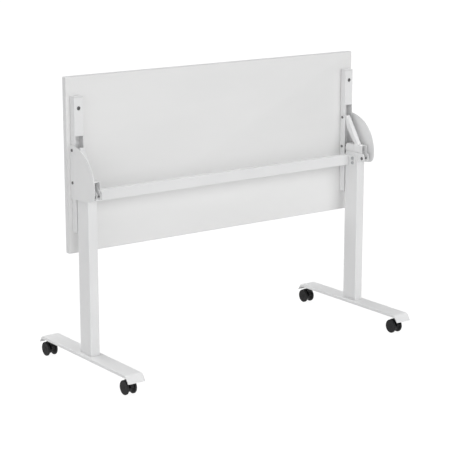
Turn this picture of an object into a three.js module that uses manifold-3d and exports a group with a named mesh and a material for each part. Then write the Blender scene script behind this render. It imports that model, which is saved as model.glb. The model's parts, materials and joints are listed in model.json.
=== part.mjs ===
// A flip top training table on casters, with its top turned up for storage.
// Millimetres, +Z up. The origin is on the floor under the middle of the frame, +X runs along
// the table and +Y points to the side where the turned-up top stands.
import * as THREE from "three";
import { mergeVertices } from "three/addons/utils/BufferGeometryUtils.js";
import Module from "manifold-3d";

// Clearances
const GAP = 0.3; // between pieces that touch
const SWING_GAP = 0.5; // between pieces that pass each other
const OVERCUT = 1; // how far a cutting form passes the face it cuts
const ROUND_STEPS = 24; // facets of a full circle
const SMALL_STEPS = 12; // facets of a screw, pin or hole
const LARGE_RADIUS = 8.5; // rounds above this get the full count of facets
const HEX_SIDES = 6;
const WELD = 1e-4; // corners nearer than this are one

// Table top, standing upright behind the hinge
const TOP_LENGTH = 1240;
const TOP_DEPTH = 600;
const TOP_THICK = 20;
const EDGE_BAND = 2;
const TOP_BELOW_HINGE = 244;

// Columns and the beam between them
const COLUMN_INSET = 33; // from each end of the top to its column's middle plane
const COLUMN_WIDTH = 35;
const COLUMN_DEPTH = 70;
const COLUMN_WALL = 2.5;
const COLUMN_TOP = 651;
const COLUMN_PLATE = 4;
const BEAM_HEIGHT = 38;
const BEAM_DEPTH = 25;
const BEAM_WALL = 2;
const BEAM_BELOW_COLUMN_TOP = 13.5;
const BEAM_BACK_INSET = 1;
const END_PLATE = 4;
const END_PLATE_DEPTH = 58;
const BEAM_BOLT_SPACING = 17.5;
const BEAM_BOLT_TO_BEAM = 21;
const BEAM_BOLT_RADIUS = 4;
const BEAM_BOLT_HEAD_RADIUS = 6;
const BEAM_BOLT_HEAD = 4;

// Flip hinge
const HINGE_BACK = 22;
const HINGE_RISE = 10;
const HINGE_TO_TOP = 47.5;
const HINGE_PIN_RADIUS = 4;
const HINGE_COLLAR_RADIUS = 8;
const HINGE_BUSH_WALL = 1.6;
const PIN_SEAT_WALL = 1; // left of the quadrant plate behind the pin

// Rails under the top
const RAIL_WIDTH = 35;
const RAIL_HEIGHT = 28;
const RAIL_WALL = 2.5;
const RAIL_TO_UPPER_EDGE = 64; // from the rail's ends to the edges of the top
const RAIL_TO_LOWER_EDGE = 74;
const RAIL_CAP = 2.5;
const RAIL_CAP_PLUG = 8;
const WINDOW_ABOVE_HINGE = 160;
const WINDOW_BELOW_HINGE = 20;
const ACCESS_HOLE_RADIUS = 7;
const ACCESS_HOLE_INSET = 39;
const PANEL_SCREW_RADIUS = 2.5;
const PANEL_SCREW_HEAD_RADIUS = 5;
const PANEL_SCREW_HEAD = 3;
const PANEL_SCREW_BITE = 14;

// Quadrant plates beside the rails
const QUADRANT_REACH = 153;
const QUADRANT_UP = 130;
const QUADRANT_DOWN = 54.5;
const QUADRANT_BELLY_DROP = 12.5;
const QUADRANT_CURVE = 2.15; // exponent of the rounded edge, where 2 is an ellipse
const QUADRANT_CURVE_STEPS = 20;
const QUADRANT_TOE_RISE = 7;
const QUADRANT_TOE_RADIUS = 35;
const QUADRANT_STRIP = 20;
const QUADRANT_STRIP_THICK = 3;
const QUADRANT_PLATE_THICK = 2.5;
const QUADRANT_STEP = 1.5;
const RAIL_SCREW_ABOVE_HINGE = [112, 2];
const RAIL_SCREW_FROM_TOP = 13.5;
const RAIL_SCREW_RADIUS = 3;
const RAIL_SCREW_HEAD_RADIUS = 5;
const RAIL_SCREW_HEAD = 2;

// Head on each column
const HEAD_WIDTH = 23.5;
const HEAD_WALL = 2.5;
const HEAD_SEAM = 1.2;
const HEAD_FLOOR_INSET = 1;
const HEAD_PAD_INSET = 2;
const HEAD_FRONT = 58;
const HEAD_REST_GAP = 0.5;
const HEAD_SLOT_BACK = 9;
const HEAD_BOLT_FRONT = 5;
const HEAD_BOLT_RADIUS = 4;
const HEAD_BOLT_HEAD_RADIUS = 6.5;
const HEAD_BOLT_HEAD = 4;
const HEAD_BOLT_BITE = 10;

// Pivot bracket and stay arm in front of each column
const STAY_PIVOT_FRONT = 24;
const STAY_PIVOT_DROP = 19;
const LUG_LOBE_RADIUS = 13;
const LUG_BASE = 3;
const LUG_BASE_HEIGHT = 18;
const STAY_LOBE_RADIUS = 9;
const STAY_PIN_RADIUS = 4;
const STAY_PIN_HEAD_RADIUS = 6;
const STAY_PIN_HEAD = 1.8;
const STAY_TIP_RISE = 150;
const STAY_TIP_IN_WINDOW = 4;
const STAY_TIP_WIDTH = 9;
const STAY_ELBOW_BELOW_TIP = 47;
const STAY_ELBOW_BACK = 12;
const STAY_WALL = 3;
const STAY_NECK = 19;
const STAY_ROOT_FRONT = [-3.2, 2.25]; // corners inside the pivot lobe, back and up from the pin
const STAY_ROOT_BACK = [7.2, 3.6];
const TAB_THICK = 2.5;
const TAB_LENGTH = 18.5;

// Feet and casters
const FOOT_WIDTH = 66;
const FOOT_TOP = 77.6;
const FOOT_PAST_CASTER = 16; // flat length beyond each caster's stem
const FOOT_SHEET = 3;
const FOOT_LIP = 10.5;
const FOOT_NOSE_OUT = 18;
const FOOT_NOSE_DROP = 25;
const FOOT_NOSE_CORNER = 7; // round of each nose's corners, along its slope
const FOOT_CORNER_STEPS = 4;
const FOOT_BOLT_RADIUS = 4;
const FOOT_BOLT_HEAD_RADIUS = 6.5;
const FOOT_BOLT_HEAD = 4;
const FOOT_BOLT_BITE = 12;
const CASTER_SPACING = 516;
const CASTER_TRAIL = 20;
const CASTER_STEM_RADIUS = 5;
const CASTER_BOSS_RADIUS = 9;
const CASTER_BOSS_DROP = 9;
const CASTER_NECK_RADIUS = 10;
const CASTER_NECK_START = 0.6; // height of the neck's foot over the wheel's radius
const CASTER_NECK_GAP = 0.8; // from the neck to the wheels' rims
const CASTER_WEB = 12;
const CASTER_CROWN_RADIUS = 26.5;
const CASTER_CROWN_RISE = 2; // where the crown starts above the axle
const CASTER_DRUM_RADIUS = 17;
const CASTER_AXLE_RADIUS = 3;
const WHEEL_DIAMETER = 50;
const WHEEL_WIDTH = 12.5;
const WHEEL_DRUM = 5; // width of the drum beside the caster's body
const WHEEL_ROUND = 2.5;
const WHEEL_ROUND_STEPS = 2;
const WHEEL_DISH = 1;

const HEX_SOCKET_SHARE = 0.55; // socket width over head radius
const HEX_SOCKET_DEPTH = 1.4;

// Places worked out from the sizes above
const columnX = TOP_LENGTH / 2 - COLUMN_INSET;
const hingeZ = COLUMN_TOP + HINGE_RISE;
const undersideY = HINGE_BACK + HINGE_TO_TOP;
const topLowZ = hingeZ - TOP_BELOW_HINGE;
const topHighZ = topLowZ + TOP_DEPTH;
const railFrontY = undersideY - GAP - RAIL_HEIGHT;
const railTopZ = topHighZ - RAIL_TO_UPPER_EDGE;
const railLowZ = topLowZ + RAIL_TO_LOWER_EDGE;
const headTopZ = hingeZ + HINGE_TO_TOP - GAP - RAIL_HEIGHT - HEAD_REST_GAP;
const headLowZ = COLUMN_TOP + HEAD_SEAM;
const headInner = -COLUMN_WIDTH / 2; // outward offsets from the column's middle plane
const headOuter = headInner + HEAD_WIDTH;
const headRound = headTopZ - hingeZ; // round of the back corner about the hinge, for the rail
const headBackY = Math.min(COLUMN_DEPTH / 2 - SWING_GAP, HINGE_BACK + headRound);
const stripInner = RAIL_WIDTH / 2 + GAP;
const plateInner = Math.max(stripInner, COLUMN_WIDTH / 2 + GAP) + QUADRANT_STEP;
const plateOuter = plateInner + QUADRANT_PLATE_THICK;
const stayY = -COLUMN_DEPTH / 2 - STAY_PIVOT_FRONT;
const stayZ = COLUMN_TOP - STAY_PIVOT_DROP;
const stayInner = headInner + HEAD_WALL + SWING_GAP;
const stayOuter = headOuter - HEAD_WALL - SWING_GAP;
const beamTopZ = COLUMN_TOP - BEAM_BELOW_COLUMN_TOP;
const beamBackY = COLUMN_DEPTH / 2 - BEAM_BACK_INSET;
const beamFrontY = beamBackY - BEAM_DEPTH;
const endPlateX = columnX - COLUMN_WIDTH / 2 - GAP;
const wheelRadius = WHEEL_DIAMETER / 2;
const wheelInner = CASTER_WEB / 2 + SWING_GAP;
const footUnderZ = FOOT_TOP - FOOT_SHEET;
const bossLowZ = footUnderZ - CASTER_BOSS_DROP;

// Finishes
const finish = (color, roughness, metalness) =>
  new THREE.MeshStandardMaterial({ color, roughness, metalness });
const WHITE_COAT = finish(0xeeeeee, 0.45, 0);
const WHITE_BOARD = finish(0xf1f1f0, 0.5, 0);
const WHITE_PLASTIC = finish(0xe6e6e6, 0.4, 0);
const STEEL = finish(0x8c8f93, 0.35, 1);
const BLACK_PLASTIC = finish(0x1c1c1e, 0.45, 0);
const BLACK_TREAD = finish(0x262628, 0.6, 0);

// Boolean cuts and joins
const wasm = await Module();
wasm.setup();

function toSolid(geometry) {
  const bare = geometry.clone();
  bare.deleteAttribute("normal");
  bare.deleteAttribute("uv");
  const merged = mergeVertices(bare, WELD);
  return new wasm.Manifold(
    new wasm.Mesh({
      numProp: 3,
      vertProperties: new Float32Array(merged.attributes.position.array),
      triVerts: new Uint32Array(merged.index.array),
    }),
  );
}

function toGeometry(solid) {
  const mesh = solid.getMesh();
  const geometry = new THREE.BufferGeometry();
  geometry.setAttribute("position", new THREE.BufferAttribute(mesh.vertProperties, 3));
  geometry.setIndex(new THREE.BufferAttribute(mesh.triVerts, 1));
  geometry.computeVertexNormals();
  return geometry;
}

function join(first, ...others) {
  return toGeometry(others.reduce((sum, g) => sum.add(toSolid(g)), toSolid(first)));
}

function cut(body, ...tools) {
  return toGeometry(tools.reduce((rest, g) => rest.subtract(toSolid(g)), toSolid(body)));
}

// Basic forms, each placed where it belongs
const SHARED_SKIN = 0.4; // how far joined forms reach into each other

function block([x0, x1], [y0, y1], [z0, z1]) {
  const lowX = Math.min(x0, x1);
  const box = new THREE.BoxGeometry(Math.abs(x1 - x0), y1 - y0, z1 - z0);
  return box.translate(lowX + Math.abs(x1 - x0) / 2, (y0 + y1) / 2, (z0 + z1) / 2);
}

// An outline in Y and Z carried along X
function slab(outline, [x0, x1]) {
  const low = Math.min(x0, x1);
  const form = new THREE.ExtrudeGeometry(outline, {
    depth: Math.abs(x1 - x0),
    bevelEnabled: false,
    curveSegments: ROUND_STEPS / 4,
  });
  const turn = new THREE.Matrix4().set(0, 0, 1, low, 1, 0, 0, 0, 0, 1, 0, 0, 0, 0, 0, 1);
  return form.applyMatrix4(turn);
}

function polygon(points) {
  return new THREE.Shape(points.map(([y, z]) => new THREE.Vector2(y, z)));
}

function stepsFor(radius) {
  return radius > LARGE_RADIUS ? ROUND_STEPS : SMALL_STEPS;
}

function rodX(y, z, radius, [x0, x1], steps = stepsFor(radius)) {
  const rod = new THREE.CylinderGeometry(radius, radius, Math.abs(x1 - x0), steps);
  return rod.rotateZ(-Math.PI / 2).translate((x0 + x1) / 2, y, z);
}

function rodY(x, z, radius, [y0, y1], steps = stepsFor(radius)) {
  const rod = new THREE.CylinderGeometry(radius, radius, y1 - y0, steps);
  return rod.translate(x, (y0 + y1) / 2, z);
}

function rodZ(x, y, radius, [z0, z1], steps = stepsFor(radius)) {
  const rod = new THREE.CylinderGeometry(radius, radius, z1 - z0, steps);
  return rod.rotateX(Math.PI / 2).translate(x, y, (z0 + z1) / 2);
}

// The table as a group of named pieces
const table = new THREE.Group();

function piece(name, geometry, material) {
  const mesh = new THREE.Mesh(geometry, material);
  mesh.name = name;
  table.add(mesh);
}

// A side of the table: outward offsets from its column's middle plane become X
const SIDES = [
  { name: "left", out: (offset) => -(columnX + offset) },
  { name: "right", out: (offset) => columnX + offset },
];

// Board with screw holes, and the band glued round its edge
function tabletop() {
  const halfLength = TOP_LENGTH / 2;
  const coreHalf = halfLength - EDGE_BAND - GAP;
  const bandHalf = halfLength - EDGE_BAND;
  const thickness = [undersideY, undersideY + TOP_THICK];
  const inset = EDGE_BAND + GAP;
  const board = block([-coreHalf, coreHalf], thickness, [topLowZ + inset, topHighZ - inset]);
  const holes = SIDES.flatMap((side) =>
    accessHoleHeights().map((z) =>
      rodY(side.out(0), z, PANEL_SCREW_RADIUS + GAP, [
        undersideY - SHARED_SKIN,
        undersideY + PANEL_SCREW_BITE + GAP,
      ]),
    ),
  );
  piece("table_top", cut(board, ...holes), WHITE_BOARD);
  const outside = block([-halfLength, halfLength], thickness, [topLowZ, topHighZ]);
  const inside = block(
    [-bandHalf, bandHalf],
    [thickness[0] - SHARED_SKIN, thickness[1] + SHARED_SKIN],
    [topLowZ + EDGE_BAND, topHighZ - EDGE_BAND],
  );
  piece("edge_band", cut(outside, inside), WHITE_PLASTIC);
}

function accessHoleHeights() {
  return [railTopZ - ACCESS_HOLE_INSET, railLowZ + ACCESS_HOLE_INSET];
}

// Square tube with a window for the stay arm, capped ends and access holes to its two screws
function rail(side) {
  const half = RAIL_WIDTH / 2;
  const backY = undersideY - GAP;
  const endGap = RAIL_CAP + GAP;
  const span = [railLowZ + endGap, railTopZ - endGap];
  const bore = half - RAIL_WALL;
  const holes = accessHoleHeights().flatMap((z) => [
    rodY(side.out(0), z, ACCESS_HOLE_RADIUS, [railFrontY - SHARED_SKIN, railFrontY + RAIL_HEIGHT / 2]),
    rodY(side.out(0), z, PANEL_SCREW_RADIUS + GAP, [backY - RAIL_WALL * 2, backY + SHARED_SKIN]),
  ]);
  const screwHoles = RAIL_SCREW_ABOVE_HINGE.map((rise) =>
    rodX(undersideY - RAIL_SCREW_FROM_TOP, hingeZ + rise, RAIL_SCREW_RADIUS + GAP, [
      side.out(-half - SHARED_SKIN),
      side.out(half + SHARED_SKIN),
    ]),
  );
  const tube = cut(
    block([side.out(-half), side.out(half)], [railFrontY, backY], span),
    block(
      [side.out(-bore), side.out(bore)],
      [railFrontY + RAIL_WALL, backY - RAIL_WALL],
      [railLowZ, railTopZ],
    ),
    block(
      [side.out(-bore), side.out(bore)],
      [railFrontY - SHARED_SKIN, railFrontY + RAIL_WALL * 2],
      [hingeZ - WINDOW_BELOW_HINGE, hingeZ + WINDOW_ABOVE_HINGE],
    ),
    ...holes,
    ...screwHoles,
  );
  piece(`rail_${side.name}`, tube, WHITE_COAT);

  const plugHalf = bore - GAP;
  const plugY = [railFrontY + RAIL_WALL + GAP, backY - RAIL_WALL - GAP];
  const capEnds = [
    ["upper", railTopZ - RAIL_CAP, railTopZ, railTopZ - RAIL_CAP - RAIL_CAP_PLUG, railTopZ - SHARED_SKIN],
    ["lower", railLowZ, railLowZ + RAIL_CAP, railLowZ + SHARED_SKIN, railLowZ + RAIL_CAP + RAIL_CAP_PLUG],
  ];
  for (const [end, z0, z1, plug0, plug1] of capEnds) {
    const lid = block([side.out(-half), side.out(half)], [railFrontY, backY], [z0, z1]);
    const plug = block([side.out(-plugHalf), side.out(plugHalf)], plugY, [plug0, plug1]);
    piece(`rail_cap_${end}_${side.name}`, join(lid, plug), WHITE_PLASTIC);
  }

  const seatY = backY - RAIL_WALL - GAP;
  ["upper", "lower"].forEach((end, i) => {
    const z = accessHoleHeights()[i];
    const head = rodY(side.out(0), z, PANEL_SCREW_HEAD_RADIUS, [seatY - PANEL_SCREW_HEAD, seatY]);
    const shank = rodY(side.out(0), z, PANEL_SCREW_RADIUS, [
      seatY - SHARED_SKIN,
      undersideY + PANEL_SCREW_BITE,
    ]);
    piece(`panel_screw_${end}_${side.name}`, join(head, shank), STEEL);
  });
}

// Rounded plate outside the rail: its mounting strip lies on the rail, its belly clears the column
function quadrant(side) {
  const y = (reach) => undersideY - reach;
  const bellyZ = hingeZ - QUADRANT_BELLY_DROP;
  const lowZ = hingeZ - QUADRANT_DOWN;
  const toeZ = lowZ + QUADRANT_TOE_RISE;
  const height = hingeZ + QUADRANT_UP - bellyZ;
  const outline = new THREE.Shape();
  outline.moveTo(y(GAP), lowZ);
  outline.lineTo(y(QUADRANT_REACH - QUADRANT_TOE_RADIUS), toeZ);
  outline.quadraticCurveTo(y(QUADRANT_REACH), toeZ, y(QUADRANT_REACH), toeZ + QUADRANT_TOE_RADIUS);
  for (let i = 0; i <= QUADRANT_CURVE_STEPS; i++) {
    const angle = ((i / QUADRANT_CURVE_STEPS) * Math.PI) / 2;
    const along = Math.cos(angle) ** (2 / QUADRANT_CURVE);
    const up = Math.sin(angle) ** (2 / QUADRANT_CURVE);
    outline.lineTo(y(Math.max(QUADRANT_REACH * along, GAP)), bellyZ + height * up);
  }
  const strip = [lowZ - GAP, hingeZ + QUADRANT_UP + GAP];
  const stripY = y(QUADRANT_STRIP);
  const plate = join(
    cut(
      slab(outline, [side.out(plateInner), side.out(plateOuter)]),
      block(
        [side.out(plateInner - OVERCUT), side.out(plateOuter + OVERCUT)],
        [stripY, undersideY],
        strip,
      ),
    ),
    cut(
      slab(outline, [side.out(stripInner), side.out(stripInner + QUADRANT_STRIP_THICK)]),
      block(
        [side.out(stripInner - OVERCUT), side.out(stripInner + QUADRANT_STRIP_THICK + OVERCUT)],
        [y(QUADRANT_REACH + OVERCUT), stripY - QUADRANT_PLATE_THICK],
        strip,
      ),
    ),
  );
  const holes = RAIL_SCREW_ABOVE_HINGE.map((rise) =>
    rodX(y(RAIL_SCREW_FROM_TOP), hingeZ + rise, RAIL_SCREW_RADIUS + GAP, [
      side.out(stripInner - OVERCUT),
      side.out(plateOuter + OVERCUT),
    ]),
  );
  const pinSeat = rodX(HINGE_BACK, hingeZ, HINGE_PIN_RADIUS + GAP, [
    side.out(plateInner - OVERCUT),
    side.out(plateOuter - PIN_SEAT_WALL),
  ]);
  piece(`quadrant_${side.name}`, cut(plate, ...holes, pinSeat), WHITE_COAT);
}

// Screw with a head at each end, through the quadrant's strip and the rail
function railScrews(side) {
  const inner = -RAIL_WIDTH / 2 - GAP;
  const outer = stripInner + QUADRANT_STRIP_THICK + GAP;
  const y = undersideY - RAIL_SCREW_FROM_TOP;
  const socket = RAIL_SCREW_HEAD_RADIUS * HEX_SOCKET_SHARE;
  ["upper", "lower"].forEach((end, i) => {
    const z = hingeZ + RAIL_SCREW_ABOVE_HINGE[i];
    const screw = join(
      rodX(y, z, RAIL_SCREW_RADIUS, [side.out(inner - SHARED_SKIN), side.out(outer + SHARED_SKIN)]),
      rodX(y, z, RAIL_SCREW_HEAD_RADIUS, [side.out(inner - RAIL_SCREW_HEAD), side.out(inner)]),
      rodX(y, z, RAIL_SCREW_HEAD_RADIUS, [side.out(outer), side.out(outer + RAIL_SCREW_HEAD)]),
    );
    const sockets = [
      [inner - RAIL_SCREW_HEAD - OVERCUT, inner - RAIL_SCREW_HEAD + HEX_SOCKET_DEPTH],
      [outer + RAIL_SCREW_HEAD - HEX_SOCKET_DEPTH, outer + RAIL_SCREW_HEAD + OVERCUT],
    ].map(([a, b]) => rodX(y, z, socket, [side.out(a), side.out(b)], HEX_SIDES));
    piece(`rail_screw_${end}_${side.name}`, cut(screw, ...sockets), STEEL);
  });
}

// Hinge pin held by the quadrant plate, turning in a bush in the head
function hinge(side) {
  const bushInner = headInner + HEAD_WALL + GAP;
  const pin = join(
    rodX(HINGE_BACK, hingeZ, HINGE_PIN_RADIUS, [
      side.out(bushInner + GAP),
      side.out(plateOuter - PIN_SEAT_WALL - GAP),
    ]),
    rodX(HINGE_BACK, hingeZ, HINGE_COLLAR_RADIUS, [
      side.out(headOuter + SWING_GAP),
      side.out(plateInner - GAP),
    ]),
  );
  piece(`hinge_pin_${side.name}`, pin, STEEL);
  const bore = HINGE_PIN_RADIUS + GAP;
  const bush = cut(
    rodX(HINGE_BACK, hingeZ, bore + HINGE_BUSH_WALL, [side.out(bushInner), side.out(headOuter)]),
    rodX(HINGE_BACK, hingeZ, bore, [side.out(bushInner - OVERCUT), side.out(headOuter + OVERCUT)]),
  );
  piece(`hinge_bush_${side.name}`, bush, BLACK_PLASTIC);
}

// Box channel on the column, open in front, with a slot in its top where the stay arm passes
function head(side) {
  const wallIn = headInner + HEAD_WALL;
  const wallOut = headOuter - HEAD_WALL;
  const floorZ = headLowZ + HEAD_WALL;
  const floorFront = -COLUMN_DEPTH / 2 + HEAD_FLOOR_INSET;
  const past = HEAD_FRONT + OVERCUT;
  const hollow = [side.out(wallIn), side.out(wallOut)];
  const outline = new THREE.Shape();
  outline.moveTo(-HEAD_FRONT, headLowZ);
  outline.lineTo(headBackY, headLowZ);
  const roundStart = Math.acos((headBackY - HINGE_BACK) / headRound);
  outline.absarc(HINGE_BACK, hingeZ, headRound, roundStart, Math.PI / 2);
  outline.lineTo(-HEAD_FRONT, headTopZ);
  const channel = cut(
    slab(outline, [side.out(headInner), side.out(headOuter)]),
    block(hollow, [-past, headBackY + OVERCUT], [floorZ, headTopZ - HEAD_WALL]),
    block(hollow, [-past, floorFront], [headLowZ - OVERCUT, floorZ + OVERCUT]),
    block(hollow, [-past, -HEAD_SLOT_BACK], [headTopZ - HEAD_WALL - OVERCUT, headTopZ + OVERCUT]),
    rodX(HINGE_BACK, hingeZ, HINGE_PIN_RADIUS + HINGE_BUSH_WALL + 2 * GAP, [
      side.out(wallOut - OVERCUT),
      side.out(headOuter + OVERCUT),
    ]),
  );
  const pad = block(
    [side.out(headInner + HEAD_PAD_INSET), side.out(headOuter - HEAD_PAD_INSET)],
    [floorFront + HEAD_PAD_INSET, headBackY - HEAD_PAD_INSET],
    [COLUMN_TOP + GAP, headLowZ + SHARED_SKIN],
  );
  const boltX = side.out((headInner + headOuter) / 2);
  const boltHole = rodZ(boltX, -HEAD_BOLT_FRONT, HEAD_BOLT_RADIUS + GAP, [
    COLUMN_TOP - OVERCUT,
    floorZ + OVERCUT,
  ]);
  piece(`head_${side.name}`, cut(join(channel, pad), boltHole), WHITE_COAT);

  const seatZ = floorZ + GAP;
  const bolt = join(
    rodZ(boltX, -HEAD_BOLT_FRONT, HEAD_BOLT_HEAD_RADIUS, [seatZ, seatZ + HEAD_BOLT_HEAD]),
    rodZ(boltX, -HEAD_BOLT_FRONT, HEAD_BOLT_RADIUS, [COLUMN_TOP - HEAD_BOLT_BITE, seatZ + SHARED_SKIN]),
  );
  piece(`head_bolt_${side.name}`, bolt, STEEL);
}

// Two lugs on a base in front of the column, with the pin that carries the stay arm
function pivotBracket(side) {
  const backY = -COLUMN_DEPTH / 2 - GAP;
  const lowZ = stayZ - LUG_LOBE_RADIUS;
  const outline = new THREE.Shape();
  outline.moveTo(backY, lowZ);
  outline.lineTo(stayY, lowZ);
  outline.absarc(stayY, stayZ, LUG_LOBE_RADIUS, -Math.PI / 2, -Math.PI, true);
  outline.quadraticCurveTo(stayY - LUG_LOBE_RADIUS, COLUMN_TOP, stayY, COLUMN_TOP);
  outline.lineTo(backY, COLUMN_TOP);
  const lugs = [
    [headInner, headInner + HEAD_WALL],
    [headOuter - HEAD_WALL, headOuter],
  ].map(([a, b]) => slab(outline, [side.out(a), side.out(b)]));
  const base = block(
    [side.out(headInner + SHARED_SKIN), side.out(headOuter - SHARED_SKIN)],
    [backY - LUG_BASE, backY],
    [lowZ, lowZ + LUG_BASE_HEIGHT],
  );
  const hole = rodX(stayY, stayZ, STAY_PIN_RADIUS + GAP, [
    side.out(headInner - OVERCUT),
    side.out(headOuter + OVERCUT),
  ]);
  piece(`pivot_bracket_${side.name}`, cut(join(lugs[0], lugs[1], base), hole), WHITE_COAT);

  const inner = headInner - GAP;
  const outer = headOuter + GAP;
  const socket = STAY_PIN_HEAD_RADIUS * HEX_SOCKET_SHARE;
  const pin = join(
    rodX(stayY, stayZ, STAY_PIN_RADIUS, [side.out(inner - SHARED_SKIN), side.out(outer + SHARED_SKIN)]),
    rodX(stayY, stayZ, STAY_PIN_HEAD_RADIUS, [side.out(inner - STAY_PIN_HEAD), side.out(inner)]),
    rodX(stayY, stayZ, STAY_PIN_HEAD_RADIUS, [side.out(outer), side.out(outer + STAY_PIN_HEAD)]),
  );
  const recess = rodX(
    stayY,
    stayZ,
    socket,
    [side.out(inner - STAY_PIN_HEAD - OVERCUT), side.out(inner - STAY_PIN_HEAD + HEX_SOCKET_DEPTH)],
    HEX_SIDES,
  );
  piece(`stay_pin_${side.name}`, cut(pin, recess), STEEL);
}

// Cranked channel arm up into the rail's window, its release tab, and below the tab
// the arm's inner wall alone, which hangs on the pin
function stayArm(side) {
  const tipZ = stayZ + STAY_TIP_RISE;
  const tipBack = railFrontY + STAY_TIP_IN_WINDOW;
  const tipFront = tipBack - STAY_TIP_WIDTH;
  const elbow = [tipBack - STAY_ELBOW_BACK, tipZ - STAY_ELBOW_BELOW_TIP];
  const neckZ = headTopZ - HEAD_WALL;
  const rootY = stayY + STAY_ROOT_FRONT[0];
  const rootZ = stayZ + STAY_ROOT_FRONT[1];
  const frontAt = (z) => rootY + ((tipFront - rootY) * (z - rootZ)) / (tipZ - rootZ);
  const neck = [frontAt(neckZ) + STAY_NECK, neckZ];
  const heel = [-COLUMN_DEPTH / 2 - LUG_BASE - SWING_GAP, COLUMN_TOP];
  const body = polygon([
    [rootY, rootZ],
    [stayY + STAY_ROOT_BACK[0], stayZ + STAY_ROOT_BACK[1]],
    heel,
    neck,
    elbow,
    [tipBack, tipZ],
    [tipFront, tipZ],
  ]);
  const tabHigh = headTopZ - GAP;
  const tabLow = tabHigh - TAB_THICK;
  const pocketLow = tabLow - SHARED_SKIN;
  const pocketHigh = tipZ - STAY_WALL;
  const pocket = polygon([
    [frontAt(pocketLow) + STAY_WALL, pocketLow],
    [frontAt(pocketLow) + STAY_WALL + COLUMN_DEPTH, pocketLow],
    [tipBack + COLUMN_DEPTH, pocketHigh],
    [frontAt(pocketHigh) + STAY_WALL, pocketHigh],
  ]);
  const arm = cut(
    join(
      slab(body, [side.out(stayInner), side.out(stayOuter)]),
      rodX(stayY, stayZ, STAY_LOBE_RADIUS, [side.out(stayInner), side.out(stayOuter)]),
    ),
    slab(pocket, [side.out(stayInner + STAY_WALL), side.out(stayOuter - STAY_WALL)]),
    block(
      [side.out(stayInner + STAY_WALL), side.out(stayOuter + OVERCUT)],
      [stayY - STAY_TIP_RISE, stayY + STAY_TIP_RISE],
      [stayZ - STAY_LOBE_RADIUS - OVERCUT, tabLow],
    ),
    rodX(stayY, stayZ, STAY_PIN_RADIUS + GAP, [
      side.out(stayInner - OVERCUT),
      side.out(stayOuter + OVERCUT),
    ]),
  );
  piece(`stay_arm_${side.name}`, arm, WHITE_COAT);

  const tab = polygon([
    [frontAt(tabLow) - GAP, tabLow],
    [frontAt(tabHigh) - GAP, tabHigh],
    [frontAt(tabHigh) - GAP - TAB_LENGTH, tabHigh],
    [frontAt(tabHigh) - GAP - TAB_LENGTH, tabLow],
  ]);
  piece(`release_tab_${side.name}`, slab(tab, [side.out(stayInner), side.out(stayOuter)]), WHITE_COAT);
}

// Rectangular tube with a plate welded into each end
function column(side) {
  const halfX = COLUMN_WIDTH / 2;
  const halfY = COLUMN_DEPTH / 2;
  const low = FOOT_TOP + GAP;
  const boltX = side.out((headInner + headOuter) / 2);
  const inside = [low + COLUMN_PLATE, COLUMN_TOP - COLUMN_PLATE];
  const tube = cut(
    block([side.out(-halfX), side.out(halfX)], [-halfY, halfY], [low, COLUMN_TOP]),
    block(
      [side.out(-halfX + COLUMN_WALL), side.out(halfX - COLUMN_WALL)],
      [-halfY + COLUMN_WALL, halfY - COLUMN_WALL],
      inside,
    ),
    rodZ(boltX, -HEAD_BOLT_FRONT, HEAD_BOLT_RADIUS + GAP, [inside[1] - OVERCUT, COLUMN_TOP + OVERCUT]),
    rodZ(side.out(0), 0, FOOT_BOLT_RADIUS + GAP, [low - OVERCUT, inside[0] + OVERCUT]),
    ...beamBoltHeights().map((z) =>
      rodX(beamBoltY(), z, BEAM_BOLT_RADIUS + GAP, [
        side.out(-halfX - OVERCUT),
        side.out(-halfX + COLUMN_WALL + OVERCUT),
      ]),
    ),
  );
  piece(`column_${side.name}`, tube, WHITE_COAT);
}

function beamBoltHeights() {
  const middle = beamTopZ - BEAM_HEIGHT / 2;
  return [middle + BEAM_BOLT_SPACING / 2, middle - BEAM_BOLT_SPACING / 2];
}

function beamBoltY() {
  return beamFrontY - BEAM_BOLT_TO_BEAM;
}

// Tube between the columns, on end plates that are bolted to the columns' inner sides
function crossbeam() {
  const reach = endPlateX - END_PLATE - GAP;
  const z = [beamTopZ - BEAM_HEIGHT, beamTopZ];
  const tube = cut(
    block([-reach, reach], [beamFrontY, beamBackY], z),
    block(
      [-reach - OVERCUT, reach + OVERCUT],
      [beamFrontY + BEAM_WALL, beamBackY - BEAM_WALL],
      [z[0] + BEAM_WALL, z[1] - BEAM_WALL],
    ),
  );
  piece("crossbeam", tube, WHITE_COAT);
}

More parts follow.
